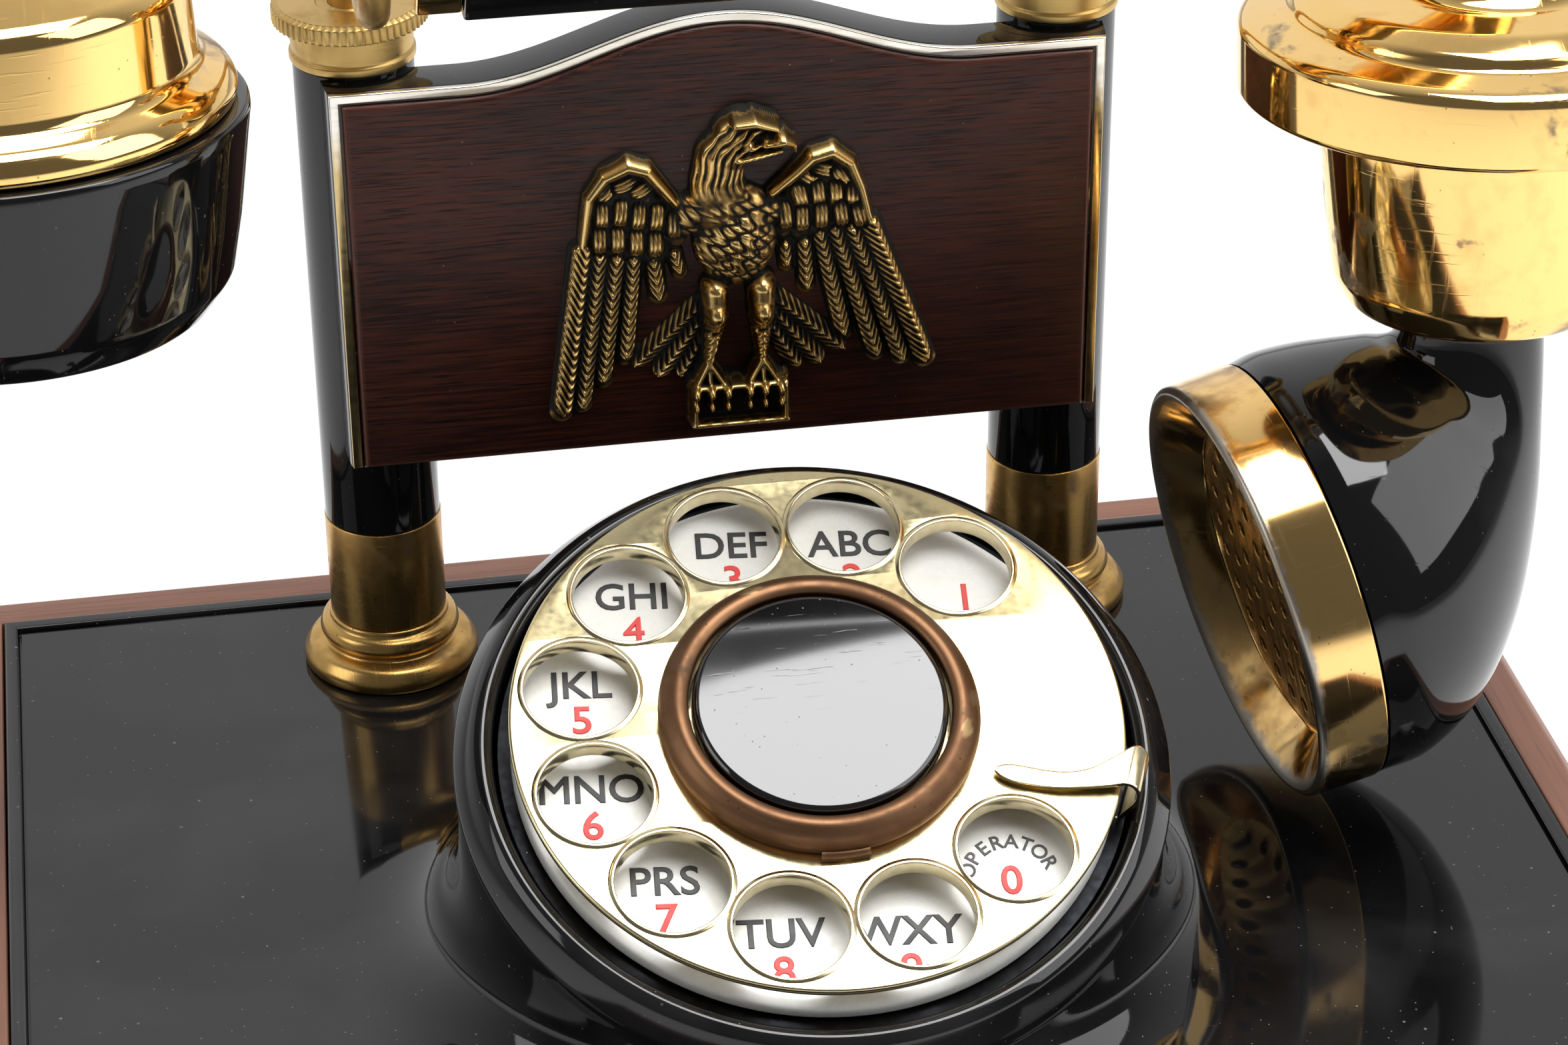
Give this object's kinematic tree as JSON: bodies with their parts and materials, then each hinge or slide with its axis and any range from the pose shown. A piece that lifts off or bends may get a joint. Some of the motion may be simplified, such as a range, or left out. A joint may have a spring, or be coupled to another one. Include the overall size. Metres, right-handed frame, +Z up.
{
  "type": "cradle telephone",
  "caption": "French-style cradle telephone: wooden plinth with a black top, tilted rotary dial, brass pillars carrying an eagle plaque, and a black and gold handset across forks.",
  "frame": {"origin": "middle of the plinth's footprint, on the surface the rubber feet stand on", "axes": "+Z up; -Y is the front, towards which the dial faces; +X is the phone's right-hand side seen from the front, where the mouthpiece hangs"},
  "size_m": [0.2464, 0.1876, 0.1908],
  "materials": {
    "wood": "satin",
    "dark_wood": "satin",
    "black_gloss": "gloss",
    "gold_plate": "polished",
    "aged_brass": "worn",
    "pale_brass": "brushed",
    "copper_brown": "worn",
    "white_enamel": "satin",
    "silver_trim": "satin",
    "steel": "satin",
    "rubber": "matte",
    "eagle_brass": "antique",
    "phenolic": "matte"
  },
  "bodies": {
    "phone": {"wood_plinth_frame": "wood", "base_floor_plate": "steel", "rubber_foot_front_left": "rubber", "rubber_foot_front_right": "rubber", "rubber_foot_rear_left": "rubber", "rubber_foot_rear_right": "rubber", "line_cord_inlet_bush": "rubber", "handset_cord_inlet_bush": "rubber", "black_top_panel": "black_gloss", "number_plate": "white_enamel", "dial_frame_plate": "steel", "dial_return_spring": "steel", "finger_stop": "pale_brass", "foot_flange_left": "aged_brass", "ferrule_left": "aged_brass", "pillar_left": "black_gloss", "collar_left": "aged_brass", "knurled_cap_left": "aged_brass", "foot_flange_right": "aged_brass", "ferrule_right": "aged_brass", "pillar_right": "black_gloss", "collar_right": "aged_brass", "knurled_cap_right": "aged_brass", "upright_panel": "black_gloss", "trim_strip": "silver_trim", "wood_plaque": "dark_wood", "brass_eagle": "eagle_brass", "ringer_gong_left": "aged_brass", "ringer_gong_right": "aged_brass", "ringer_coil": "copper_brown", "network_block": "phenolic", "terminal_block": "phenolic", "hook_switch_bracket": "steel", "hook_switch_contacts": "phenolic"},
    "dial_wheel": {"finger_wheel": "pale_brass", "dial_centre_ring": "copper_brown", "dial_centre_disc": "black_gloss", "dial_shaft_and_gear": "steel"},
    "pinion": {"pulse_pinion": "steel"},
    "cradle": {"cradle_fork_left": "aged_brass", "cradle_fork_right": "aged_brass", "plunger_rod_left": "steel", "plunger_rod_right": "steel"},
    "handset": {"handset_grip": "black_gloss", "grip_ferrule_left": "gold_plate", "grip_ferrule_right": "gold_plate", "receiver_neck": "gold_plate", "transmitter_neck": "gold_plate", "receiver_cap": "gold_plate", "receiver_cup": "black_gloss", "receiver_capsule": "steel", "transmitter_flange": "gold_plate", "transmitter_cup": "gold_plate", "handset_cord_bush": "rubber", "horn_elbow": "black_gloss", "mouthpiece_ring": "gold_plate", "mouthpiece_grille": "aged_brass", "transmitter_capsule": "steel"},
    "clapper": {"ringer_clapper": "pale_brass"},
    "switch_lever": {"hook_switch_lever": "steel"}
  },
  "joints": [
    {"name": "dial_turn", "type": "hinge", "parent": "phone", "child": "dial_wheel", "pos_m": [0, -0.0115, 0.0776], "axis": [0, -0.4067, 0.9135], "range_deg": [-326, 0], "stiffness_Nm_per_rad": 0.002, "springref_deg": 57.3},
    {"name": "pinion_turn", "type": "hinge", "parent": "phone", "child": "pinion", "pos_m": [0, 0.01043, 0.08736], "axis": [0, -0.4067, 0.9135], "range_deg": [-5, 990]},
    {"name": "cradle_rise", "type": "slide", "parent": "phone", "child": "cradle", "axis": [0, 0, 1], "range_m": [0, 0.004], "stiffness_N_per_m": 200, "springref_m": 0.0125},
    {"name": "handset_lift", "type": "slide", "parent": "cradle", "child": "handset", "axis": [0, 0, 1], "range_m": [0, 0.08]},
    {"name": "lever_tilt", "type": "hinge", "parent": "phone", "child": "switch_lever", "pos_m": [0, 0.052, 0.023], "axis": [1, 0, 0], "range_deg": [-1, 13]},
    {"name": "clapper_swing", "type": "hinge", "parent": "phone", "child": "clapper", "pos_m": [0, -0.01, 0.0155], "axis": [0, 0, 1], "range_deg": [-5, 5], "stiffness_Nm_per_rad": 0.002}
  ],
  "couplings": [
    {"joint": "pinion_turn", "follows": "dial_turn", "ratio": -3},
    {"joint": "lever_tilt", "follows": "cradle_rise", "rad_per_m": 50}
  ]
}
